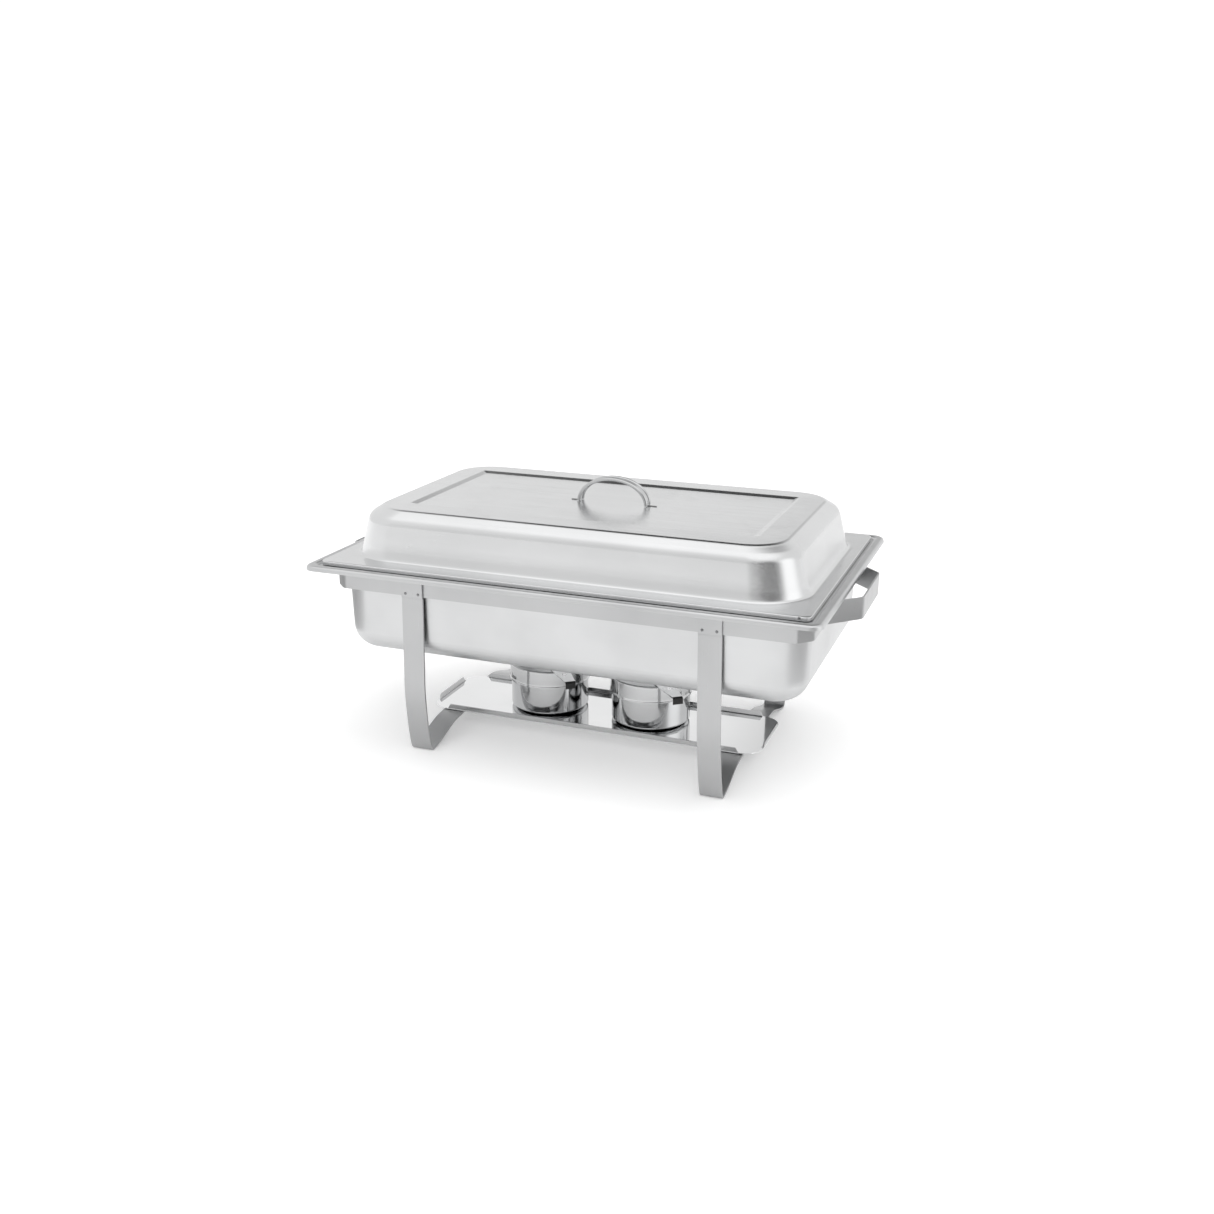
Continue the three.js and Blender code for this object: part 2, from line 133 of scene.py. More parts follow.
level = WALL_LEVEL
for soft_box in SOFT_BOXES:
    level = studio_mix("ADD", level, studio_patch(*soft_box))
for unlit in UNLIT_STRETCHES:
    level = studio_mix("MULTIPLY", level, studio_mix("SUBTRACT", 1.0, studio_patch(*unlit)))

walls = studio.nodes.new("ShaderNodeBackground")
walls.inputs["Color"].default_value = (1.0, 1.0, 1.0, 1.0)
studio.links.new(level, walls.inputs["Strength"])
paper = studio.nodes.new("ShaderNodeBackground")
paper.inputs["Color"].default_value = (1.0, 1.0, 1.0, 1.0)
paper.inputs["Strength"].default_value = PAPER_LEVEL
ray = studio.nodes.new("ShaderNodeLightPath")
seen = studio.nodes.new("ShaderNodeMixShader")
studio.links.new(ray.outputs["Is Camera Ray"], seen.inputs["Fac"])
studio.links.new(walls.outputs[0], seen.inputs[1])
studio.links.new(paper.outputs[0], seen.inputs[2])
studio_out = studio.nodes.new("ShaderNodeOutputWorld")
studio.links.new(seen.outputs[0], studio_out.inputs["Surface"])

top_light_data = bpy.data.lights.new("top_light", "SUN")
top_light_data.energy = TOP_LIGHT_ENERGY
top_light_data.angle = math.radians(TOP_LIGHT_SPREAD)
top_light = bpy.data.objects.new("top_light", top_light_data)
top_light.rotation_euler = [math.radians(turn) for turn in TOP_LIGHT_TILT]
top_light.visible_glossy = False
bpy.context.scene.collection.objects.link(top_light)

floor_mesh = bpy.data.meshes.new("floor")
half = FLOOR_SIZE / 2
floor_corners = [(-half, -half, 0.0), (half, -half, 0.0), (half, half, 0.0), (-half, half, 0.0)]
floor_mesh.from_pydata(floor_corners, [], [(0, 1, 2, 3)])
floor = bpy.data.objects.new("floor", floor_mesh)
bpy.context.scene.collection.objects.link(floor)
floor_paint = bpy.data.materials.new("pale_floor")
floor_paint.use_nodes = True
paint = floor_paint.node_tree.nodes["Principled BSDF"]
paint.inputs["Base Color"].default_value = (0.9, 0.9, 0.9, 1.0)
paint.inputs["Roughness"].default_value = 0.9
paint.inputs["Specular IOR Level"].default_value = 0.1
paint.inputs["Emission Color"].default_value = (1.0, 1.0, 1.0, 1.0)
floor_ray = floor_paint.node_tree.nodes.new("ShaderNodeLightPath")
floor_glow = floor_paint.node_tree.nodes.new("ShaderNodeMapRange")
floor_glow.inputs["To Min"].default_value = FLOOR_GLOW_REFLECTED
floor_glow.inputs["To Max"].default_value = FLOOR_GLOW_SEEN
floor_links = floor_paint.node_tree.links
floor_links.new(floor_ray.outputs["Is Camera Ray"], floor_glow.inputs["Value"])
floor_links.new(floor_glow.outputs["Result"], paint.inputs["Emission Strength"])
floor_mesh.materials.append(floor_paint)

near_y, far_y = CARD_Y
ground = [(GROUND_X[i], GROUND_Y[j], GROUND_Z) for i, j in ((0, 0), (1, 0), (1, 1), (0, 1))]
cards = {"ground": (GROUND_GREY, ground)}
for card_name, x in (("left", -CARD_X), ("right", CARD_X)):
    corners = [(x, near_y, 0.0), (x, far_y, 0.0), (x, far_y, CARD_HEIGHT), (x, near_y, CARD_HEIGHT)]
    cards[card_name] = (CARD_GREY, corners)
for card_name, (grey, corners) in cards.items():
    card_paint = bpy.data.materials.new(f"card_paint_{card_name}")
    card_paint.use_nodes = True
    card_surface = card_paint.node_tree.nodes["Principled BSDF"]
    card_surface.inputs["Base Color"].default_value = (grey, grey, grey, 1.0)
    card_surface.inputs["Roughness"].default_value = 0.9
    card_mesh = bpy.data.meshes.new(f"card_{card_name}")
    card_mesh.from_pydata(corners, [], [(0, 1, 2, 3)])
    card_mesh.materials.append(card_paint)
    card = bpy.data.objects.new(f"card_{card_name}", card_mesh)
    bpy.context.scene.collection.objects.link(card)
    card.visible_camera = False
    card.visible_diffuse = False
    card.visible_shadow = False
bpy.context.scene.view_settings.view_transform = "Standard"

# ---- frame band ---------------------------------------------------------------
# A stainless strip, 2 mm thick, bent into a ring round the water pan. Its ends bulge out
# into the two carrying handles, and the ring closes with a butt weld behind.
band_low, band_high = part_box("frame_band")
BAND_SHEET = 0.0020
BAND_BEND = 0.0045
BAND_SIDE_X = 0.2675
CHAMFER = 0.015
HANDLE_ROOT_Y = 0.080
HANDLE_FLAT_Y = 0.048
STRIP_EDGE = 0.00035
WELD_HALF = 0.0011
WELD_EDGE = 0.0009
WELD_CROWN = 0.00115
WELD_SHEET = 0.0005


def rounded(points, cut, closed=False, steps=6):
    """The same path with each corner replaced by a smooth bend that starts cut before it."""
    path = []
    count = len(points)
    for i, corner in enumerate(points):
        if not closed and i in (0, count - 1):
            path.append(Vector(corner))
            continue
        corner = Vector(corner)
        before = Vector(points[i - 1])
        after = Vector(points[(i + 1) % count])
        into = (before - corner).normalized() * min(cut, (before - corner).length * 0.49)
        out = (after - corner).normalized() * min(cut, (after - corner).length * 0.49)
        for k in range(steps + 1):
            t = k / steps
            path.append(corner + into * (1 - t) ** 2 + out * t ** 2)
    return path


def strip_section(thickness, width, edge, steps=2):
    """Rounded-edge rectangle: (across the thickness, across the width), anticlockwise."""
    section = []
    for quarter, (sn, sw) in enumerate(((1, 1), (-1, 1), (-1, -1), (1, -1))):
        for k in range(steps + 1):
            a = (quarter + k / steps) * math.pi / 2
            n = sn * (thickness / 2 - edge) + edge * math.cos(a)
            w = sw * (width / 2 - edge) + edge * math.sin(a)
            section.append((n, w))
    return section


def sweep(path, section, closed, place):
    """(vertices, faces) of a section carried along a flat path; place turns (u, v, w) into a point."""
    vertices = []
    faces = []
    count = len(path)
    for i, point in enumerate(path):
        before = path[i - 1] if closed or i > 0 else point
        after = path[(i + 1) % count] if closed or i + 1 < count else point
        a = (point - before).normalized() if point != before else (after - point).normalized()
        b = (after - point).normalized() if after != point else a
        normal = Vector((-(a.y + b.y), a.x + b.x)) / (1 + a.dot(b))
        for n, w in section:
            spot = point + normal * n
            vertices.append(place(spot.x, spot.y, w))
    size = len(section)
    for i in range(count if closed else count - 1):
        for k in range(size):
            j = (i + 1) % count
            m = (k + 1) % size
            faces.append((i * size + k, i * size + m, j * size + m, j * size + k))
    if not closed:
        faces.append(tuple(range(size)))
        faces.append(tuple(reversed(range((count - 1) * size, count * size))))
    return vertices, faces


def make_piece(name, shapes, material, sharp=38):
    """One object from lists of (vertices, faces), outward faces, smooth except at real corners."""
    whole = bmesh.new()
    for vertices, faces in shapes:
        made = [whole.verts.new(v) for v in vertices]
        for face in faces:
            whole.faces.new([made[k] for k in face])
    bmesh.ops.remove_doubles(whole, verts=whole.verts, dist=1e-6)
    bmesh.ops.recalc_face_normals(whole, faces=whole.faces)
    mesh = bpy.data.meshes.new(name)
    whole.to_mesh(mesh)
    whole.free()
    mesh.shade_smooth()
    mesh.set_sharp_from_angle(angle=math.radians(sharp))
    mesh.materials.append(material)
    piece = bpy.data.objects.new(name, mesh)
    bpy.context.scene.collection.objects.link(piece)
    weigh = piece.modifiers.new("even_normals", "WEIGHTED_NORMAL")
    weigh.keep_sharp = True
    return piece


def steel(name, bright, dull, gloss, grain, ripple=0.0, marks=0.0):
    """Stainless steel: bright and dull are its two greys, gloss the range of its roughness,
    grain the stretch of its polishing lines, ripple the depth of the sheet's slight waves,
    and marks how much handling marks dull it."""
    material = bpy.data.materials.new(name)
    material.use_nodes = True
    tree = material.node_tree
    surface = tree.nodes["Principled BSDF"]
    surface.inputs["Metallic"].default_value = 1.0
    surface.inputs["Specular IOR Level"].default_value = 0.5
    place = tree.nodes.new("ShaderNodeTexCoord")
    lines_map = tree.nodes.new("ShaderNodeMapping")
    lines_map.inputs["Scale"].default_value = grain
    tree.links.new(place.outputs["Object"], lines_map.inputs["Vector"])
    lines = tree.nodes.new("ShaderNodeTexNoise")
    lines.inputs["Scale"].default_value = 1.0
    lines.inputs["Detail"].default_value = 6.0
    lines.inputs["Roughness"].default_value = 0.62
    tree.links.new(lines_map.outputs["Vector"], lines.inputs["Vector"])
    cloud = tree.nodes.new("ShaderNodeTexNoise")
    cloud.inputs["Scale"].default_value = 9.0
    cloud.inputs["Detail"].default_value = 3.0
    tree.links.new(place.outputs["Object"], cloud.inputs["Vector"])
    tone = tree.nodes.new("ShaderNodeMix")
    tone.data_type = "RGBA"
    tone.inputs["A"].default_value = (*dull, 1.0)
    tone.inputs["B"].default_value = (*bright, 1.0)
    patchy = tree.nodes.new("ShaderNodeMapRange")
    patchy.inputs["From Min"].default_value = 0.3
    patchy.inputs["From Max"].default_value = 0.62
    tree.links.new(cloud.outputs["Fac"], patchy.inputs["Value"])
    tree.links.new(patchy.outputs["Result"], tone.inputs["Factor"])
    tree.links.new(tone.outputs["Result"], surface.inputs["Base Color"])
    shine = tree.nodes.new("ShaderNodeMapRange")
    shine.inputs["From Min"].default_value = 0.3
    shine.inputs["From Max"].default_value = 0.7
    shine.inputs["To Min"].default_value = gloss[0]
    shine.inputs["To Max"].default_value = gloss[1]
    tree.links.new(lines.outputs["Fac"], shine.inputs["Value"])
    smear = tree.nodes.new("ShaderNodeTexNoise")
    smear.inputs["Scale"].default_value = 26.0
    smear.inputs["Detail"].default_value = 4.0
    smear.inputs["Distortion"].default_value = 1.4
    tree.links.new(place.outputs["Object"], smear.inputs["Vector"])
    worn = tree.nodes.new("ShaderNodeMapRange")
    worn.inputs["From Min"].default_value = 0.52
    worn.inputs["From Max"].default_value = 0.74
    worn.inputs["To Max"].default_value = marks
    tree.links.new(smear.outputs["Fac"], worn.inputs["Value"])
    total = tree.nodes.new("ShaderNodeMath")
    total.operation = "ADD"
    tree.links.new(shine.outputs["Result"], total.inputs[0])
    tree.links.new(worn.outputs["Result"], total.inputs[1])
    tree.links.new(total.outputs[0], surface.inputs["Roughness"])
    waves = tree.nodes.new("ShaderNodeTexNoise")
    waves.inputs["Scale"].default_value = 5.5
    waves.inputs["Detail"].default_value = 1.0
    tree.links.new(place.outputs["Object"], waves.inputs["Vector"])
    ripples = tree.nodes.new("ShaderNodeBump")
    ripples.inputs["Strength"].default_value = 1.0
    ripples.inputs["Distance"].default_value = ripple
    tree.links.new(waves.outputs["Fac"], ripples.inputs["Height"])
    scratches = tree.nodes.new("ShaderNodeBump")
    scratches.inputs["Strength"].default_value = 0.12
    scratches.inputs["Distance"].default_value = 0.00002
    tree.links.new(lines.outputs["Fac"], scratches.inputs["Height"])
    tree.links.new(ripples.outputs["Normal"], scratches.inputs["Normal"])
    tree.links.new(scratches.outputs["Normal"], surface.inputs["Normal"])
    return material


strip_finish = steel("strip_steel", (0.5, 0.503, 0.507), (0.45, 0.453, 0.457), (0.27, 0.34),
                     (14.0, 900.0, 900.0), ripple=0.0004, marks=0.05)
leg_finish = steel("leg_strip_steel", (0.49, 0.493, 0.497), (0.44, 0.443, 0.447), (0.27, 0.33),
                   (900.0, 30.0, 14.0), ripple=0.0004, marks=0.05)

side_x = BAND_SIDE_X - BAND_SHEET / 2
long_y = band_high[1] - BAND_SHEET / 2
handle_x = band_high[0] - BAND_SHEET / 2
bend_shift = BAND_SHEET / 2 * math.tan(math.pi / 8)
band_quarter = [
    (handle_x, HANDLE_FLAT_Y - bend_shift),
    (side_x, HANDLE_ROOT_Y + bend_shift),
    (side_x, long_y - CHAMFER + bend_shift),
    (side_x - CHAMFER + bend_shift, long_y),
]
band_half = band_quarter + [(-x, y) for x, y in reversed(band_quarter)]
band_ring = band_half + [(x, -y) for x, y in reversed(band_half)]
band_mid = (band_low[2] + band_high[2]) / 2
band_width = band_high[2] - band_low[2]
band_shape = sweep(
    rounded(band_ring, BAND_BEND, closed=True),
    strip_section(BAND_SHEET, band_width, STRIP_EDGE),
    True,
    lambda u, v, w: (u, v, band_mid + w),
)
weld_path = [
    Vector((-WELD_HALF, long_y + WELD_EDGE)),
    Vector((0.0, long_y + WELD_CROWN)),
    Vector((WELD_HALF, long_y + WELD_EDGE)),
]
weld_bead = sweep(
    rounded(weld_path, 0.001),
    strip_section(WELD_SHEET, band_width - 0.001, 0.0002),
    False,
    lambda u, v, w: (u, v, band_mid + w),
)
frame_band = make_piece("steel_band", [band_shape, weld_bead], strip_finish)
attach(frame_band, "frame")
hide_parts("frame_band")

# ---- legs ---------------------------------------------------------------------
# Each side has one 25 mm strip: down from the band, curving in to the floor, turning back
# up and across under the shelf, and the same again at the rear. The legs splay slightly.
leg_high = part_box("leg_strip_right")[1]
LEG_STRIP = 0.0025
LEG_WIDTH = 0.025
LEG_X = 0.1662
LEG_SPLAY = 0.0032
RAIL_TOP = 0.0183
LEG_JOG = 0.0013
LEG_BEND = 0.006
leg_y = leg_high[1] - LEG_STRIP / 2
leg_top = leg_high[2]
rail_z = RAIL_TOP - LEG_STRIP / 2
foot_z = LEG_STRIP / 2

front_leg = [
    (-leg_y, leg_top), (-leg_y, 0.1841), (-leg_y + LEG_JOG, 0.1829), (-leg_y + LEG_JOG, 0.095),
    (-leg_y + 0.0010, 0.079), (-leg_y + 0.0025, 0.062), (-leg_y + 0.0050, 0.044),
    (-leg_y + 0.0077, 0.027), (-leg_y + 0.0110, 0.012), (-leg_y + 0.0134, 0.0045),
    (-leg_y + 0.0158, foot_z), (-leg_y + 0.0205, foot_z), (-0.1225, 0.0030), (-0.1110, 0.0059),
    (-0.0980, 0.0103), (-0.0855, 0.0142), (-0.0730, 0.0164), (-0.0600, rail_z),
]
leg_line = front_leg + [(-y, z) for y, z in reversed(front_leg)]
for side, sign in (("left", -1), ("right", 1)):
    leg_shape = sweep(
        rounded(leg_line, LEG_BEND, steps=4),
        strip_section(LEG_STRIP, LEG_WIDTH, STRIP_EDGE),
        False,
        lambda u, v, w: (sign * (LEG_X + LEG_SPLAY * (1 - v / leg_top)) + w, u, v),
    )
    leg = make_piece(f"leg_and_rail_{side}", [leg_shape], leg_finish)
    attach(leg, "frame")
    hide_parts(f"leg_strip_{side}")

# ---- rivet heads --------------------------------------------------------------
# Two small dull heads hold each leg to the band. Two more under each rail hold the shelf,
# flush and polished over on its top. They are all the same low dome, so one node tree
# sets them on their points.
LEG_HEAD_RADIUS = 0.0016
LEG_HEAD_SQUASH = (1.0, 0.38, 1.0)
SHELF_HEAD_RADIUS = 0.0024
SHELF_HEAD_SQUASH = (1.0, 1.0, 0.4)
SHELF_HEAD_INSET = 0.0010

rivet_finish = steel("rivet_steel", (0.26, 0.263, 0.266), (0.2, 0.203, 0.206), (0.3, 0.45),
                     (160.0, 160.0, 160.0))


def dome_tree(name, material):
    """Low domes on every vertex of the mesh: one radius, squashed by a vector."""
    tree = bpy.data.node_groups.new(name, "GeometryNodeTree")
    tree.interface.new_socket("Points", in_out="INPUT", socket_type="NodeSocketGeometry")
    tree.interface.new_socket("Head radius", in_out="INPUT", socket_type="NodeSocketFloat")
    tree.interface.new_socket("Squash", in_out="INPUT", socket_type="NodeSocketVector")
    tree.interface.new_socket("Heads", in_out="OUTPUT", socket_type="NodeSocketGeometry")
    start = tree.nodes.new("NodeGroupInput")
    end = tree.nodes.new("NodeGroupOutput")
    ball = tree.nodes.new("GeometryNodeMeshUVSphere")
    ball.inputs["Segments"].default_value = 20
    ball.inputs["Rings"].default_value = 12
    tree.links.new(start.outputs["Head radius"], ball.inputs["Radius"])
    squash = tree.nodes.new("GeometryNodeTransform")
    tree.links.new(ball.outputs["Mesh"], squash.inputs["Geometry"])
    tree.links.new(start.outputs["Squash"], squash.inputs["Scale"])
    spread = tree.nodes.new("GeometryNodeInstanceOnPoints")
    tree.links.new(start.outputs["Points"], spread.inputs["Points"])
    tree.links.new(squash.outputs["Geometry"], spread.inputs["Instance"])
    real = tree.nodes.new("GeometryNodeRealizeInstances")
    tree.links.new(spread.outputs["Instances"], real.inputs["Geometry"])
    smooth = tree.nodes.new("GeometryNodeSetShadeSmooth")
    tree.links.new(real.outputs["Geometry"], smooth.inputs["Geometry"])
    paint_heads = tree.nodes.new("GeometryNodeSetMaterial")
    paint_heads.inputs["Material"].default_value = material
    tree.links.new(smooth.outputs["Geometry"], paint_heads.inputs["Geometry"])
    tree.links.new(paint_heads.outputs["Geometry"], end.inputs["Heads"])
    return tree


def heads(name, points, radius, squash, tree):
    """The domes on these points as one plain mesh object."""
    seed_mesh = bpy.data.meshes.new(name + "_points")
    seed_mesh.from_pydata(points, [], [])
    seed = bpy.data.objects.new(name + "_points", seed_mesh)
    bpy.context.scene.collection.objects.link(seed)
    maker = seed.modifiers.new("heads", "NODES")
    maker.node_group = tree
    sockets = {s.name: s.identifier for s in tree.interface.items_tree if s.in_out == "INPUT"}
    maker[sockets["Head radius"]] = radius
    maker[sockets["Squash"]] = squash
    graph = bpy.context.evaluated_depsgraph_get()
    mesh = bpy.data.meshes.new_from_object(seed.evaluated_get(graph))
    bpy.data.objects.remove(seed)
    made = bpy.data.objects.new(name, mesh)
    bpy.context.scene.collection.objects.link(made)
    return made


rivet_domes = dome_tree("rivet_domes", rivet_finish)
leg_rivet_names = [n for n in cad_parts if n.startswith("leg_rivet_")]
shelf_rivet_names = [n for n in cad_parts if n.startswith("shelf_rivet_")]


def box_middle(node):
    """Middle of the CAD box of a node."""
    low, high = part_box(node)
    return [(a + b) / 2 for a, b in zip(low, high)]


leg_spots = []
for node in leg_rivet_names:
    x, y, z = box_middle(node)
    outward = 1 if y > 0 else -1
    leg_spots.append((x, outward * (leg_y + LEG_STRIP / 2), z))
    leg_spots.append((x, outward * (long_y - BAND_SHEET / 2), z))
leg_heads = heads("leg_rivet_heads", leg_spots, LEG_HEAD_RADIUS, LEG_HEAD_SQUASH, rivet_domes)
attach(leg_heads, "frame")
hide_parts(*leg_rivet_names)

shelf_spots = []
for node in shelf_rivet_names:
    low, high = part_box(node)
    x, y, z = box_middle(node)
    shelf_spots.append((x, y, low[2] + SHELF_HEAD_INSET))
shelf_heads = heads(
    "shelf_rivet_heads", shelf_spots, SHELF_HEAD_RADIUS, SHELF_HEAD_SQUASH, rivet_domes,
)
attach(shelf_heads, "frame")
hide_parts(*shelf_rivet_names)

# ---- burner shelf -------------------------------------------------------------
# A brightly polished tray, 1.5 mm thick, with rounded flat corners and a low lip folded
# up along each side. It lies across the two rails.
shelf_low, shelf_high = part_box("burner_shelf")
SHELF_SHEET = 0.0015
SHELF_CORNER = 0.022
SHELF_SOFT_EDGE = 0.0005
SHELF_EDGE_FLAT = 0.004
LIP_SLOPE = 0.004
LIP_BEND = 0.0026
LIP_ROOT = 0.0060
CORNER_STEPS = 14

bright_finish = steel("polished_steel", (0.88, 0.884, 0.888), (0.83, 0.834, 0.838), (0.05, 0.09),
                      (40.0, 700.0, 700.0), ripple=0.0005, marks=0.05)
# The lips get a darker copy of the polished tray steel: painted shade for the shadowed floor their outer
# faces reflect.
lip_shade_finish = steel("lip_steel_painted_shade", (0.58, 0.583, 0.587), (0.52, 0.523, 0.527), (0.14, 0.22),
                   (40.0, 700.0, 700.0), marks=0.05)


def ring(hx, hy, r, z):
    """Rounded rectangle, anticlockwise from above."""
    points = []
    for quarter, (sx, sy) in enumerate(((1, 1), (-1, 1), (-1, -1), (1, -1))):
        for k in range(CORNER_STEPS + 1):
            a = (quarter + k / CORNER_STEPS) * math.pi / 2
            points.append((sx * (hx - r) + r * math.cos(a), sy * (hy - r) + r * math.sin(a), z))
    return points


def loft(rings, shift=(0.0, 0.0)):
    """(vertices, faces) of a closed skin over rounded rectangles (hx, hy, r, z)."""
    vertices = []
    faces = []
    for r in rings:
        vertices.extend((x + shift[0], y + shift[1], z) for x, y, z in ring(*r))
    count = 4 * (CORNER_STEPS + 1)
    for i in range(len(rings) - 1):
        for k in range(count):
            m = (k + 1) % count
            faces.append((i * count + k, i * count + m, (i + 1) * count + m, (i + 1) * count + k))
    faces.append(tuple(range(count)))
    faces.append(tuple(reversed(range((len(rings) - 1) * count, len(rings) * count))))
    return vertices, faces


shelf_mid_y = (shelf_low[1] + shelf_high[1]) / 2
shelf_hx = (shelf_high[0] - shelf_low[0]) / 2
shelf_hy = (shelf_high[1] - shelf_low[1]) / 2
shelf_base = shelf_low[2]
shelf_face = shelf_base + SHELF_SHEET


def shelf_outline(inset, z):
    return (shelf_hx - inset, shelf_hy - inset, SHELF_CORNER - inset, z)


tray = loft([
    shelf_outline(SHELF_EDGE_FLAT, shelf_base),
    shelf_outline(SHELF_SOFT_EDGE, shelf_base),
    shelf_outline(0.0, shelf_base + SHELF_SOFT_EDGE),
    shelf_outline(0.0, shelf_face - SHELF_SOFT_EDGE),
    shelf_outline(SHELF_SOFT_EDGE, shelf_face),
    shelf_outline(SHELF_EDGE_FLAT, shelf_face),
], (0.0, shelf_mid_y))
lip_height = shelf_high[2] - shelf_base - SHELF_SHEET / 2


def shelf_lip(half_length, place):
    """Folded-up lip: a bent strip, w from -1 to 1 along it, whose ends slope in to the top edge."""
    line = rounded([(-LIP_ROOT, 0.0), (0.0, 0.0), (0.0, lip_height - SHELF_SHEET / 2)], LIP_BEND)
    section = strip_section(SHELF_SHEET * 0.98, 2.0, 0.0004)
    slope = LIP_SLOPE / lip_height
    return sweep(line, section, False, lambda u, v, w: place(u, v, w * (half_length - slope * max(v, 0.0))))


lip_z = shelf_base + SHELF_SHEET / 2
edge = SHELF_SHEET / 2
long_lip = shelf_hx - SHELF_CORNER - 0.001
end_lip = shelf_hy - SHELF_CORNER - 0.001
lips = [
    shelf_lip(long_lip, lambda u, v, w: (w, shelf_high[1] - edge + u, lip_z + v)),
    shelf_lip(long_lip, lambda u, v, w: (w, shelf_low[1] + edge - u, lip_z + v)),
    shelf_lip(end_lip, lambda u, v, w: (shelf_high[0] - edge + u, shelf_mid_y + w, lip_z + v)),
    shelf_lip(end_lip, lambda u, v, w: (shelf_low[0] + edge - u, shelf_mid_y + w, lip_z + v)),
]
shelf = make_piece("burner_tray", [tray], bright_finish)
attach(shelf, "frame")
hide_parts("burner_shelf")
shelf_lips = make_piece("burner_tray_lips", lips, lip_shade_finish)
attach(shelf_lips, "frame")

# ---- burners ------------------------------------------------------------------
# Two fuel cups of drawn polished steel. A deep cap pushes over each one; a swinging damper
# on a rivet covers its flame hole, with a tapering strap for a handle, bent down at the tip.
CUP_SHEET = 0.0012
FLAME_HOLE = 0.021
DAMPER_SHEET = 0.0014
DAMPER_EDGE = 0.0002
DAMPER_DISC = 0.025
DAMPER_ANGLE = math.radians(-51.3)
STRAP_NECK = 0.0476
STRAP_REACH = 0.085
STRAP_ROOT = 0.0096
STRAP_TIP = 0.0058
STRAP_HOLE = 0.0030
STRAP_HOLE_REACH = 0.060
DISC_STEPS = 44
HOLE_STEPS = 28
PIVOT_HEAD_RADIUS = 0.0031
PIVOT_HEAD_SQUASH = (1.0, 1.0, 0.33)
PIVOT_HEAD_INSET = 0.0010
TURN_STEPS = 96

cup_finish = steel("drawn_cup_steel", (0.6, 0.604, 0.608), (0.52, 0.524, 0.528), (0.06, 0.12),
                   (60.0, 60.0, 900.0), ripple=0.0007, marks=0.06)
# The strap's bent-down tip is painted near black: painted shade under the strap's end.
tip_shade_finish = steel("tip_painted_shade", (0.05, 0.05, 0.05), (0.03, 0.03, 0.03), (0.3, 0.4),
                   (90.0, 90.0, 90.0), marks=0.1)


def turned(profile, centre):
    """(vertices, faces) of a profile (radius, height) turned round a vertical axis."""
    vertices = []
    faces = []
    rows = []
    for radius, z in profile:
        if radius < 1e-7:
            rows.append([len(vertices)] * TURN_STEPS)
            vertices.append((centre[0], centre[1], z))
            continue
        rows.append(list(range(len(vertices), len(vertices) + TURN_STEPS)))
        for k in range(TURN_STEPS):
            a = 2 * math.pi * k / TURN_STEPS
            vertices.append((centre[0] + radius * math.cos(a), centre[1] + radius * math.sin(a), z))
    for lower, upper in zip(rows, rows[1:]):
        for k in range(TURN_STEPS):
            m = (k + 1) % TURN_STEPS
            face = []
            for v in (lower[k], lower[m], upper[m], upper[k]):
                if v not in face:
                    face.append(v)
            faces.append(tuple(face))
    return vertices, faces


def damper_place(centre, z):
    """Turns a damper drawn along x about its cup's middle to where its strap points."""
    return Matrix.Translation((*centre, z)) @ Matrix.Rotation(DAMPER_ANGLE, 4, "Z")


def damper_plate(centre, z):
    """Flat cover with its strap: disc, neck past the pivot, taper and hole, from one outline."""
    flat = bpy.data.curves.new("damper_outline", "CURVE")
    flat.dimensions = "2D"
    flat.fill_mode = "BOTH"
    flat.extrude = DAMPER_SHEET / 2 - DAMPER_EDGE
    flat.bevel_depth = DAMPER_EDGE
    flat.bevel_resolution = 1
    neck = math.asin(STRAP_ROOT / DAMPER_DISC)
    outline = []
    for k in range(DISC_STEPS + 1):
        a = neck + k / DISC_STEPS * (2 * math.pi - 2 * neck)
        outline.append((DAMPER_DISC * math.cos(a), DAMPER_DISC * math.sin(a)))
    end = STRAP_REACH - 0.002
    outline += [(STRAP_NECK, -STRAP_ROOT), (end, -STRAP_TIP), (end, STRAP_TIP), (STRAP_NECK, STRAP_ROOT)]
    hole = []
    for k in range(HOLE_STEPS):
        a = 2 * math.pi * k / HOLE_STEPS
        hole.append((STRAP_HOLE_REACH + STRAP_HOLE * math.cos(a), STRAP_HOLE * math.sin(a)))
    for points in (outline, hole):
        spline = flat.splines.new("POLY")
        spline.points.add(len(points) - 1)
        for spot, (x, y) in zip(spline.points, points):
            spot.co = (x, y, 0.0, 1.0)
        spline.use_cyclic_u = True
    holder = bpy.data.objects.new("damper_outline", flat)
    bpy.context.scene.collection.objects.link(holder)
    graph = bpy.context.evaluated_depsgraph_get()
    mesh = bpy.data.meshes.new_from_object(holder.evaluated_get(graph))
    bpy.data.objects.remove(holder)
    turn = damper_place(centre, z + DAMPER_SHEET / 2)
    vertices = [tuple(turn @ v.co) for v in mesh.vertices]
    faces = [tuple(p.vertices) for p in mesh.polygons]
    bpy.data.meshes.remove(mesh)
    return vertices, faces


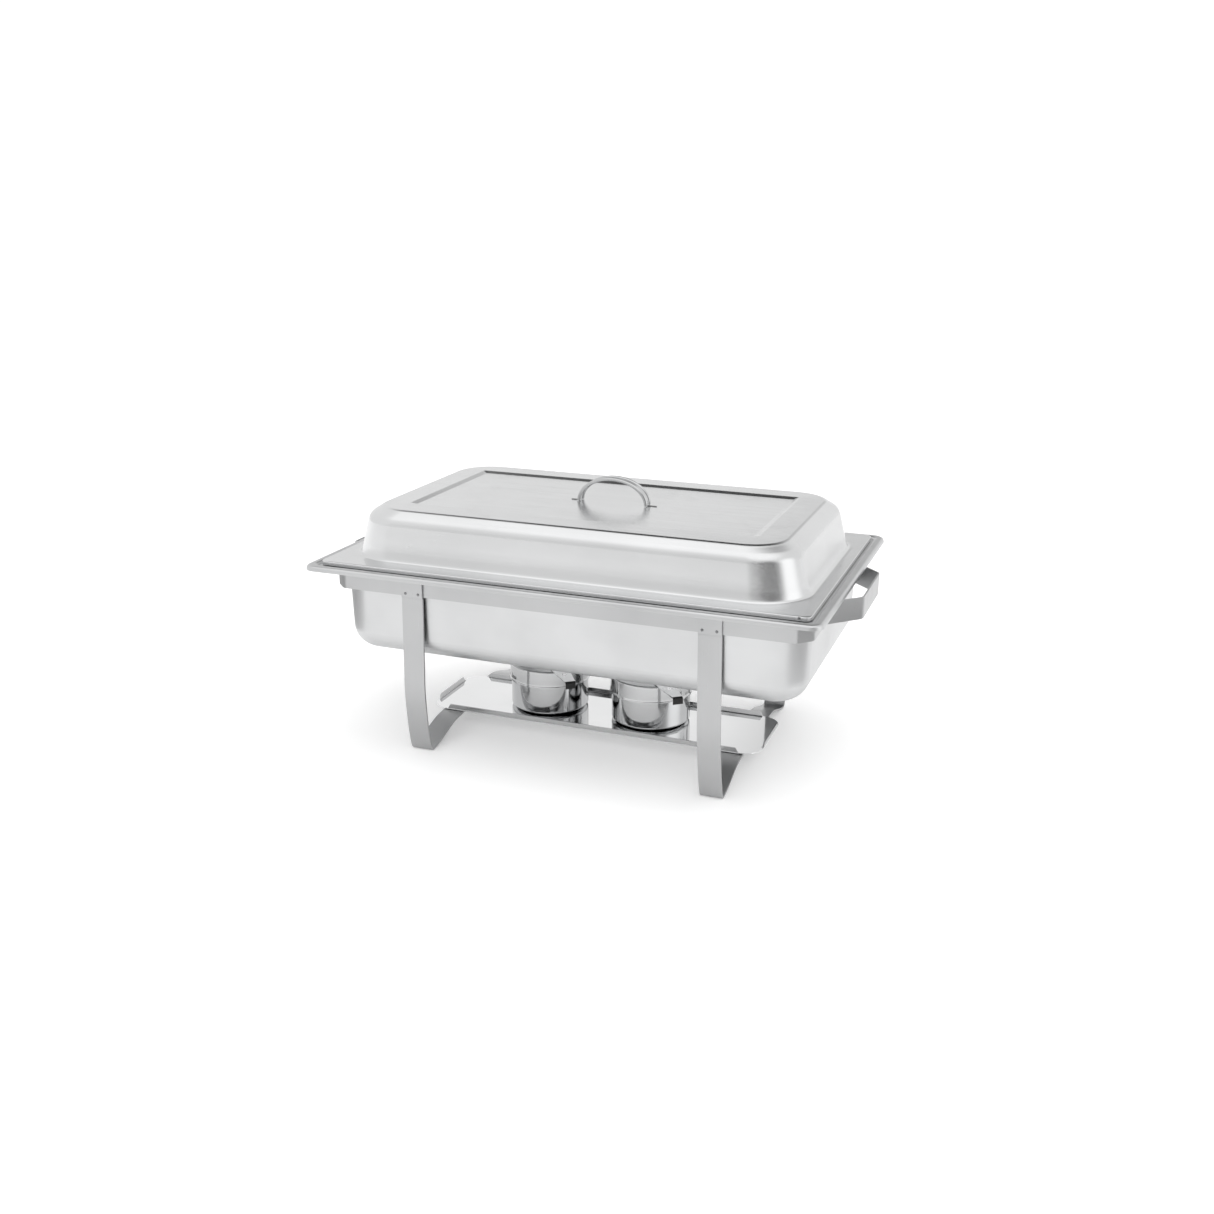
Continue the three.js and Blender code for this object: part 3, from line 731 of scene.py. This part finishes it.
for side in ("left", "right"):
    cup_low, cup_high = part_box(f"burner_cup_{side}")
    cap_low, cap_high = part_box(f"burner_cap_{side}")
    damper_low, damper_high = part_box(f"burner_damper_{side}")
    middle = ((cup_low[0] + cup_high[0]) / 2, (cup_low[1] + cup_high[1]) / 2)
    r = (cup_high[0] - cup_low[0]) / 2
    base = cup_low[2]
    top = cup_high[2]
    cup_outside = rounded([
        (0.0, base), (r * 0.62, base), (r * 0.66, base + 0.0005), (r - 0.0042, base + 0.0005),
        (r, base + 0.0032), (r, top),
    ], 0.0016, steps=5)
    cup_inside = rounded([
        (r - CUP_SHEET, top), (r - CUP_SHEET, base + 0.0045), (r - 0.0050, base + CUP_SHEET + 0.0003),
        (0.0, base + CUP_SHEET + 0.0003),
    ], 0.0014, steps=4)
    cup = make_piece(f"fuel_cup_{side}", [turned(cup_outside + cup_inside, middle)], cup_finish)
    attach(cup, f"burner_{side}")
    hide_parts(f"burner_cup_{side}")

    cap_r = (cap_high[0] - cap_low[0]) / 2
    cap_top = cap_high[2]
    cap_bottom = cap_low[2]
    cap_line = rounded([
        (FLAME_HOLE, cap_top - 0.0002), (FLAME_HOLE + 0.0010, cap_top), (cap_r - 0.0007, cap_top),
        (cap_r - 0.0005, cap_bottom + 0.0022), (cap_r, cap_bottom + 0.0014), (cap_r, cap_bottom),
    ], 0.0021, steps=6)
    cap_back = rounded([
        (cap_r - CUP_SHEET, cap_bottom), (cap_r - CUP_SHEET - 0.0003, cap_bottom + 0.0022),
        (cap_r - CUP_SHEET - 0.0003, cap_top - CUP_SHEET), (FLAME_HOLE, cap_top - CUP_SHEET),
        (FLAME_HOLE, cap_top - 0.0002),
    ], 0.0010, steps=4)
    cap = make_piece(f"burner_lid_{side}", [turned(cap_line + cap_back, middle)], cup_finish)
    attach(cap, f"cap_{side}")
    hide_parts(f"burner_cap_{side}")

    plate = damper_plate(middle, damper_high[2] - DAMPER_SHEET)
    reach = damper_place(middle, damper_high[2] - DAMPER_SHEET / 2)
    drop = damper_high[2] - damper_low[2] - DAMPER_SHEET / 2
    tip_x = STRAP_REACH + 0.0003
    tip = sweep(
        rounded([(STRAP_REACH - 0.005, 0.0), (tip_x, 0.0), (tip_x, -drop)], 0.0018),
        strip_section(DAMPER_SHEET * 0.97, 2 * STRAP_TIP, 0.0003),
        False,
        lambda u, v, w: tuple(reach @ Vector((u, w, v))),
    )
    damper = make_piece(f"swing_damper_{side}", [plate], bright_finish)
    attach(damper, f"damper_{side}")
    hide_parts(f"burner_damper_{side}")
    damper_tip = make_piece(f"damper_tip_{side}", [tip], tip_shade_finish)
    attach(damper_tip, f"damper_{side}")

    pin_low, pin_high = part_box(f"damper_rivet_{side}")
    pin_x = (pin_low[0] + pin_high[0]) / 2
    pin_y = (pin_low[1] + pin_high[1]) / 2
    pin_ends = (pin_high[2] - PIVOT_HEAD_INSET, pin_low[2] + PIVOT_HEAD_INSET)
    pin_spots = [(pin_x, pin_y, z) for z in pin_ends]
    pin = heads(
        f"damper_pivot_{side}", pin_spots, PIVOT_HEAD_RADIUS, PIVOT_HEAD_SQUASH, rivet_domes,
    )
    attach(pin, f"cap_{side}")
    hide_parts(f"damper_rivet_{side}")

# ---- water pan ----------------------------------------------------------------
# Deep-drawn satin steel: sloping walls, a flat ledge that rests on the band and holds the
# food pan, then a raised bead rolled over into a lip that hangs outside the band.
pan_low, pan_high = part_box("water_pan")
PAN_SHEET = 0.0012
LEDGE_Z = 0.2083
RIM_SHORTER = 0.1001
LEDGE_STEP = 0.0038
BEAD_RISE = 0.0060
LIP_RISE = 0.0017
PAN_BEND = 0.026

satin_finish = steel("satin_steel", (0.65, 0.654, 0.658), (0.58, 0.584, 0.588), (0.3, 0.38),
                     (10.0, 620.0, 620.0), ripple=0.0009, marks=0.03)


def softened(profile, steps=7):
    """Profile points (hx, hy, r, z, cut) with each bend rounded, starting cut before it."""
    rows = []
    for i, (*corner, cut) in enumerate(profile):
        if i in (0, len(profile) - 1):
            rows.append(tuple(corner))
            continue
        before = profile[i - 1][:4]
        after = profile[i + 1][:4]
        reach_in = math.hypot(before[0] - corner[0], before[3] - corner[3])
        reach_out = math.hypot(after[0] - corner[0], after[3] - corner[3])
        share_in = min(cut / reach_in, 0.49)
        share_out = min(cut / reach_out, 0.49)
        for k in range(steps + 1):
            t = k / steps
            a = share_in * (1 - t) ** 2
            b = share_out * t ** 2
            rows.append(tuple(c + (p - c) * a + (n - c) * b for c, p, n in zip(corner, before, after)))
    return rows


def pressed(profile, sheet, side):
    """Sheet body from one face's profile; side -1 thickens it upward and inward, 1 downward."""
    rows = softened(profile)
    back = []
    for i, row in enumerate(rows):
        steps = []
        for a, b in ((i - 1, i), (i, i + 1)):
            if 0 <= a and b < len(rows):
                dx = rows[b][0] - rows[a][0]
                dz = rows[b][3] - rows[a][3]
                length = math.hypot(dx, dz)
                if length > 1e-9:
                    steps.append((side * dz / length, -side * dx / length))
        first = steps[0]
        last = steps[-1]
        scale = sheet / (1 + first[0] * last[0] + first[1] * last[1])
        out = (first[0] + last[0]) * scale
        up = (first[1] + last[1]) * scale
        back.append((row[0] + out, row[1] + out, max(row[2] + out, 0.0004), row[3] + up))
    return loft(rows + back[::-1])


def bottom_bend(hx, hy, r, z, radius, steps=10):
    """Rings of the round bottom edge below a wall of half sizes hx and hy."""
    rows = [(hx - radius - 0.004, hy - radius - 0.004, max(r - radius, 0.008) - 0.002, z, 0.0)]
    for k in range(steps + 1):
        a = k / steps * math.pi / 2
        inset = radius * (1 - math.sin(a))
        rows.append((hx - inset, hy - inset, max(r - inset, 0.008), z + radius * (1 - math.cos(a)), 0.001))
    return rows


def rim(inset, z, r, cut):
    """Profile point that far inside the rim's outer edge, at the ends and at the long sides."""
    return (rim_x - inset, rim_x - RIM_SHORTER - inset, r, z, cut)


rim_x = pan_high[0] - PAN_SHEET * 0.985
water_profile = [
    *bottom_bend(0.2600, 0.1452, 0.036, pan_low[2], PAN_BEND),
    (0.2618, 0.1473, 0.037, LEDGE_Z - 0.0002, 0.0012),
    (0.2630, 0.1485, 0.038, LEDGE_Z, 0.0004),
    rim(0.0150, LEDGE_Z, 0.009, 0.0006),
    rim(0.0142, LEDGE_Z + LEDGE_STEP, 0.009, 0.0008),
    rim(0.0090, LEDGE_Z + LEDGE_STEP, 0.009, 0.0008),
    rim(0.0078, LEDGE_Z + BEAD_RISE, 0.0097, 0.0018),
    rim(0.0008, LEDGE_Z + BEAD_RISE, 0.0117, 0.0022),
    rim(0.0, LEDGE_Z + LIP_RISE, 0.0125, 0.0004),
]
water_pan = make_piece("water_bath", [pressed(water_profile, PAN_SHEET, -1)], satin_finish)
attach(water_pan, "water_pan")
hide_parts("water_pan")

# ---- food pan -----------------------------------------------------------------
# The gastronorm insert that holds the food: a shallower drawn pan whose flange folds down
# and stands on the water pan's ledge, hidden under the lid.
insert_low, insert_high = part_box("food_pan")
INSERT_BEND = 0.016
INSERT_SKIRT = 0.0072
flange_z = insert_high[2] - PAN_SHEET
flange_x = insert_high[0] - PAN_SHEET
flange_y = insert_high[1] - PAN_SHEET
food_profile = [
    *bottom_bend(0.2440, 0.1370, 0.036, insert_low[2], INSERT_BEND),
    (0.2500, 0.1428, 0.040, flange_z, 0.0030),
    (flange_x, flange_y, 0.010, flange_z, 0.0020),
    (flange_x, flange_y, 0.010, insert_high[2] - INSERT_SKIRT, 0.0),
]
food_pan = make_piece("food_insert", [pressed(food_profile, PAN_SHEET, -1)], satin_finish)
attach(food_pan, "food_pan")
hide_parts("food_pan")

# ---- lid ----------------------------------------------------------------------
# One pressing of satin steel: a flat panel sunk 2 mm into the crown, rolled shoulders,
# sloping walls that flare into a flange, and a short skirt with a small square drip hole.
lid_low, lid_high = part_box("lid_shell")
LID_SHEET = 0.0012
PANEL_DROP = 0.0020
FLANGE_WIDER_X = 0.0010
FLANGE_WIDER_Y = 0.0028
SKIRT_SHORTER = 0.0003
crown_z = lid_high[2]
panel_z = crown_z - PANEL_DROP
flange_top = 0.2185
lid_edge_x = lid_high[0] + FLANGE_WIDER_X
lid_edge_y = lid_high[1] + FLANGE_WIDER_Y
NOTCH = 0.0026
NOTCH_LIFT = 0.0013
NOTCH_FROM_END = 0.0115

lid_finish = steel("lid_satin_steel", (0.73, 0.734, 0.738), (0.69, 0.694, 0.698), (0.19, 0.27),
                   (9.0, 640.0, 640.0), ripple=0.0008, marks=0.03)

lid_profile = [
    (0.1890, 0.0866, 0.0008, panel_z, 0.0),
    (0.1910, 0.0886, 0.0012, panel_z, 0.0008),
    (0.1974, 0.0950, 0.0036, crown_z, 0.0010),
    (0.2260, 0.1248, 0.0390, 0.2723, 0.0010),
    (0.2286, 0.1274, 0.0410, 0.2715, 0.0010),
    (0.2306, 0.1292, 0.0425, 0.2702, 0.0016),
    (0.2420, 0.1386, 0.0460, 0.2628, 0.0068),
    (0.2495, 0.1426, 0.0500, 0.2340, 0.0060),
    (0.2516, 0.1440, 0.0520, 0.2262, 0.0040),
    (0.2545, 0.1460, 0.0550, 0.2195, 0.0030),
    (0.2580, 0.1488, 0.0580, flange_top, 0.0016),
    (lid_edge_x, lid_edge_y, 0.0075, flange_top, 0.0012),
    (lid_edge_x, lid_edge_y, 0.0075, lid_low[2] + SKIRT_SHORTER, 0.0),
]
lid_shell = make_piece("domed_cover", [pressed(lid_profile, LID_SHEET, 1)], lid_finish)
notch_x = lid_edge_x - NOTCH_FROM_END
notch_low = lid_low[2] + NOTCH_LIFT
notch_shape = loft([
    (NOTCH / 2, 0.004, 0.0005, notch_low),
    (NOTCH / 2, 0.004, 0.0005, notch_low + NOTCH),
], (notch_x, -lid_edge_y))
notch = make_piece("notch_cutter", [notch_shape], lid_finish)
cutter = lid_shell.modifiers.new("notch", "BOOLEAN")
cutter.operation = "DIFFERENCE"
cutter.object = notch
lid_shell.modifiers.move(1, 0)
graph = bpy.context.evaluated_depsgraph_get()
cut_mesh = bpy.data.meshes.new_from_object(lid_shell.evaluated_get(graph))
lid_shell.modifiers.clear()
lid_shell.data = cut_mesh
bpy.data.objects.remove(notch)
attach(lid_shell, "lid")
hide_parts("lid_shell")

# ---- lid handle ---------------------------------------------------------------
# A polished strap with rolled edges, bent to an arch and set upright on the panel.
# A narrow tab beyond each foot lies in the panel and is spot welded; the tabs are painted near black as the
# shade of the slots at the handle's feet.
arch_low, arch_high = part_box("lid_handle")
ARCH_WIDTH = 0.015
ARCH_ROLL = 0.0020
ARCH_WEB = 0.0007
ARCH_HALF = 0.0415
ARCH_LIFT = 0.0004
ARCH_STEPS = 56
TAB_OVERHANG = 0.0022
TAB_UNDER_FOOT = 0.0015
TAB_SHEET = 0.0007
TAB_WIDTH = 0.0011
arch_x = (arch_low[0] + arch_high[0]) / 2
arch_y = (arch_low[1] + arch_high[1]) / 2
arch_foot = arch_low[2]
arch_rise = arch_high[2] - arch_foot - ARCH_ROLL

handle_finish = steel("handle_steel", (0.6, 0.604, 0.608), (0.52, 0.524, 0.528), (0.05, 0.1),
                      (700.0, 60.0, 700.0), ripple=0.0002, marks=0.05)
# The tabs are painted near black: painted shade of the slot lines at the handle's feet.
tab_shade_finish = steel("tab_steel_painted_shade", (0.2, 0.2, 0.2), (0.14, 0.14, 0.14), (0.4, 0.55), (300.0, 300.0, 300.0))


def rolled_section(steps=16):
    """Strap section: a thin web between two rolled edges."""
    half = ARCH_WIDTH / 2
    upper = []
    for k in range(steps + 1):
        a = math.pi * (1 - k / steps)
        upper.append((max(ARCH_ROLL * math.sin(a), 0.0), -half + ARCH_ROLL * (1 + math.cos(a))))
    upper = [(n, w) for n, w in upper if w < -half + ARCH_ROLL or n > ARCH_WEB]
    upper += [(n, -w) for n, w in reversed(upper)]
    return upper + [(-n, w) for n, w in reversed(upper) if n > 1e-9]


arch_a = ARCH_HALF - ARCH_ROLL
arch_line = []
for k in range(ARCH_STEPS + 1):
    a = math.pi * (1 - k / ARCH_STEPS)
    arch_line.append(Vector((arch_a * math.cos(a), ARCH_LIFT + (arch_rise - ARCH_LIFT) * math.sin(a))))
arch = sweep(
    arch_line,
    rolled_section(),
    False,
    lambda u, v, w: (arch_x + u, arch_y + w, arch_foot + v),
)
lid_handle = make_piece("arched_handle", [arch], handle_finish, sharp=50)
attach(lid_handle, "lid")
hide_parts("lid_handle")

tab_shapes = []
tab_start = ARCH_HALF - TAB_UNDER_FOOT
tab_end = arch_high[0] - arch_x + TAB_OVERHANG
for sign in (-1, 1):
    tab_line = [Vector((sign * tab_start, ARCH_LIFT)), Vector((sign * tab_end, ARCH_LIFT))]
    tab_shapes.append(sweep(
        tab_line,
        strip_section(TAB_SHEET, TAB_WIDTH, 0.0002),
        False,
        lambda u, v, w: (arch_x + u, arch_y + w, arch_foot - 0.0002 + v),
    ))
tabs = make_piece("handle_tabs", tab_shapes, tab_shade_finish)
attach(tabs, "lid")
